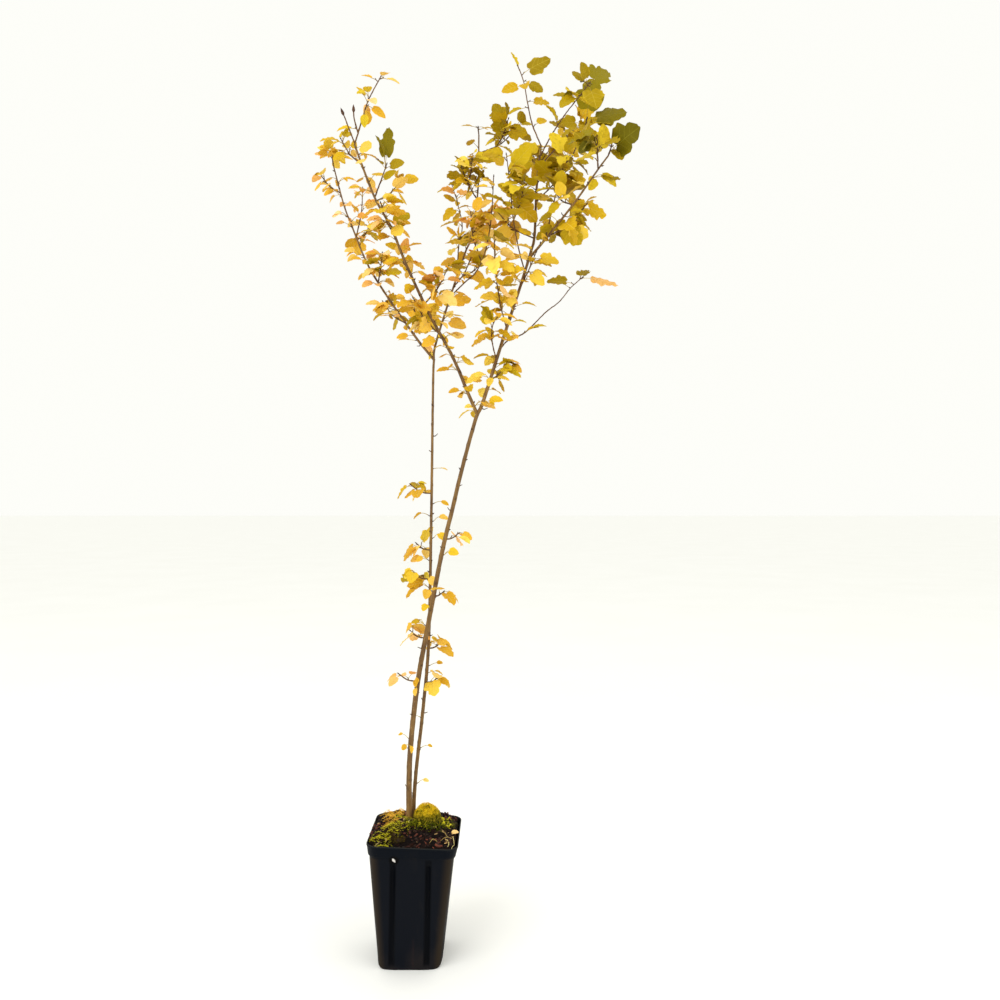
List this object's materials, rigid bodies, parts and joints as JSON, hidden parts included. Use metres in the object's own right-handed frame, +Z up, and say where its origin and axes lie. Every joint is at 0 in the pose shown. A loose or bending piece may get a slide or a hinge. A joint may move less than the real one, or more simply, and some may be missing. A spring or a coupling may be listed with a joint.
{
  "type": "potted alpine currant",
  "caption": "Slender young alpine currant shrub in autumn leaf: thin stems fork into an open, spreading crown of small lobed leaves, grown in a deep square nursery pot.",
  "frame": {"origin": "centre of the pot's flat underside", "axes": "+Z up along the stems; -Y is the front; +X is the front view's right, the side that the thicker stem leans to"},
  "size_m": [0.4249, 0.2601, 1.1713],
  "materials": {
    "pot_plastic": "soft black polypropylene, slightly shiny on its ribs",
    "potting_soil": "dark moist peat compost with bark chips",
    "moss": "soft yellow-green moss",
    "bark": "thin grey-brown bark with darker nodes",
    "leaf_orange": "autumn leaf, orange-yellow",
    "leaf_gold": "autumn leaf, golden",
    "leaf_olive": "autumn leaf, olive-gold",
    "leaf_green": "autumn leaf, still green"
  },
  "bodies": {
    "root": {"pot": "pot_plastic", "soil": "potting_soil", "moss_cushion": "moss", "moss_mat": "moss", "main_stem": "bark", "second_stem": "bark", "leader": "bark", "upright_bough": "bark", "inner_bough": "bark", "left_bough": "bark", "right_bough": "bark", "outer_left_bough": "bark", "left_bough_tip": "leaf_orange", "left_bough_green_twig": "leaf_olive", "outer_left_tip": "leaf_orange", "outer_left_thin_twig": "leaf_orange", "inner_bough_tip": "leaf_gold", "inner_back_twig": "leaf_gold", "inner_front_twig": "leaf_gold", "leader_long_twig": "leaf_olive", "leader_front_twig": "leaf_gold", "leader_low_twig": "leaf_gold", "leader_right_twig": "leaf_gold", "leader_left_twig": "leaf_olive", "upright_tip": "leaf_olive", "upright_right_twig": "leaf_green", "upright_back_twig": "leaf_olive", "right_bough_tip": "leaf_green", "right_inner_twig": "leaf_olive", "left_bough_twig_1": "leaf_orange", "left_bough_twig_2": "leaf_orange", "left_bough_twig_3": "leaf_orange", "left_bough_twig_4": "leaf_orange", "left_bough_twig_5": "leaf_gold", "left_bough_twig_6": "leaf_gold", "outer_left_bough_twig_1": "leaf_orange", "outer_left_bough_twig_2": "leaf_orange", "outer_left_bough_twig_3": "leaf_orange", "outer_left_bough_twig_4": "leaf_orange", "inner_bough_twig_1": "leaf_orange", "inner_bough_twig_2": "leaf_orange", "inner_bough_twig_3": "leaf_gold", "inner_bough_twig_4": "leaf_olive", "inner_bough_twig_5": "leaf_olive", "leader_twig_1": "leaf_orange", "upright_bough_twig_1": "leaf_gold", "upright_bough_twig_2": "leaf_olive", "upright_bough_twig_3": "leaf_olive", "right_bough_twig_1": "leaf_gold", "right_bough_twig_2": "leaf_olive", "right_bough_twig_3": "leaf_green", "main_stem_tuft_1": "leaf_orange", "main_stem_tuft_2": "leaf_orange", "main_stem_tuft_3": "leaf_orange", "main_stem_tuft_4": "leaf_orange", "second_stem_tuft_5": "leaf_orange", "second_stem_tuft_6": "leaf_orange", "second_stem_tuft_7": "leaf_orange", "second_stem_tuft_8": "leaf_orange", "second_stem_tuft_9": "leaf_orange"}
  },
  "joints": []
}
